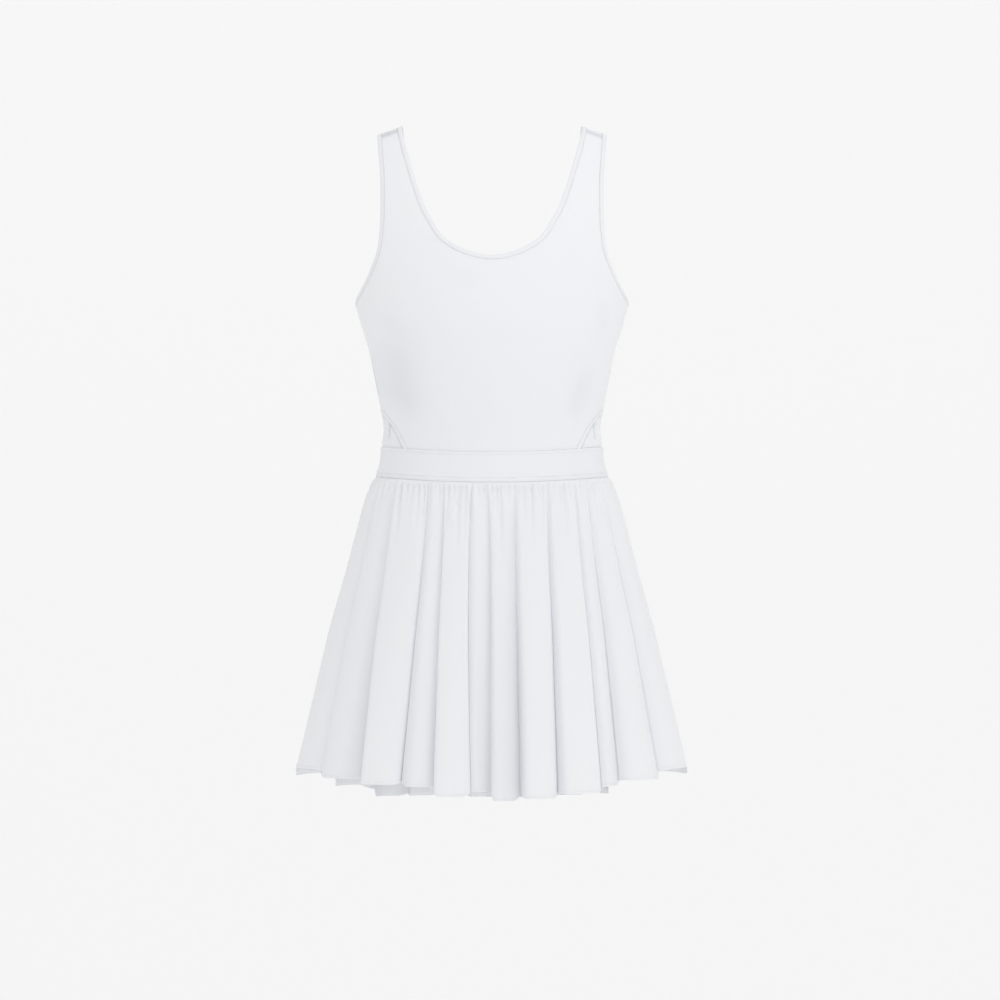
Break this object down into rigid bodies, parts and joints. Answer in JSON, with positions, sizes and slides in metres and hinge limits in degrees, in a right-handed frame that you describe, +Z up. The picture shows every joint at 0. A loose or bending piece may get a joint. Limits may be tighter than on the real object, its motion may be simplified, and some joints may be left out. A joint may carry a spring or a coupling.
{
  "type": "tennis dress",
  "caption": "Sleeveless tennis dress in its worn shape: bound scoop neck and armholes, narrow cut-outs at the waist sides, flat waistband and a short gathered skirt.",
  "frame": {"origin": "middle of the shoulder line, level with the undersides of the two straps where they rest on the shoulders", "axes": "+Z up, -Y out of the dress's front, +X to the viewer's right when the front is looked at, which is the wearer's left"},
  "size_m": [0.4501, 0.3203, 0.7827],
  "materials": {
    "bodice_knit": "smooth matte stretch knit, off-white",
    "binding_knit": "folded stretch binding with a stitched inner edge, off-white",
    "waistband_knit": "smooth stretch band with stitched edges, off-white",
    "skirt_cloth": "light plain cloth, gathered, with a narrow hem, off-white"
  },
  "bodies": {
    "root": {"bodice_front": "bodice_knit", "bodice_back": "bodice_knit", "neck_binding": "binding_knit", "armhole_binding_left": "binding_knit", "armhole_binding_right": "binding_knit", "cutout_binding_left": "binding_knit", "cutout_binding_right": "binding_knit", "waistband_front": "waistband_knit", "waistband_back": "waistband_knit", "skirt_front": "skirt_cloth", "skirt_back": "skirt_cloth"}
  },
  "joints": []
}
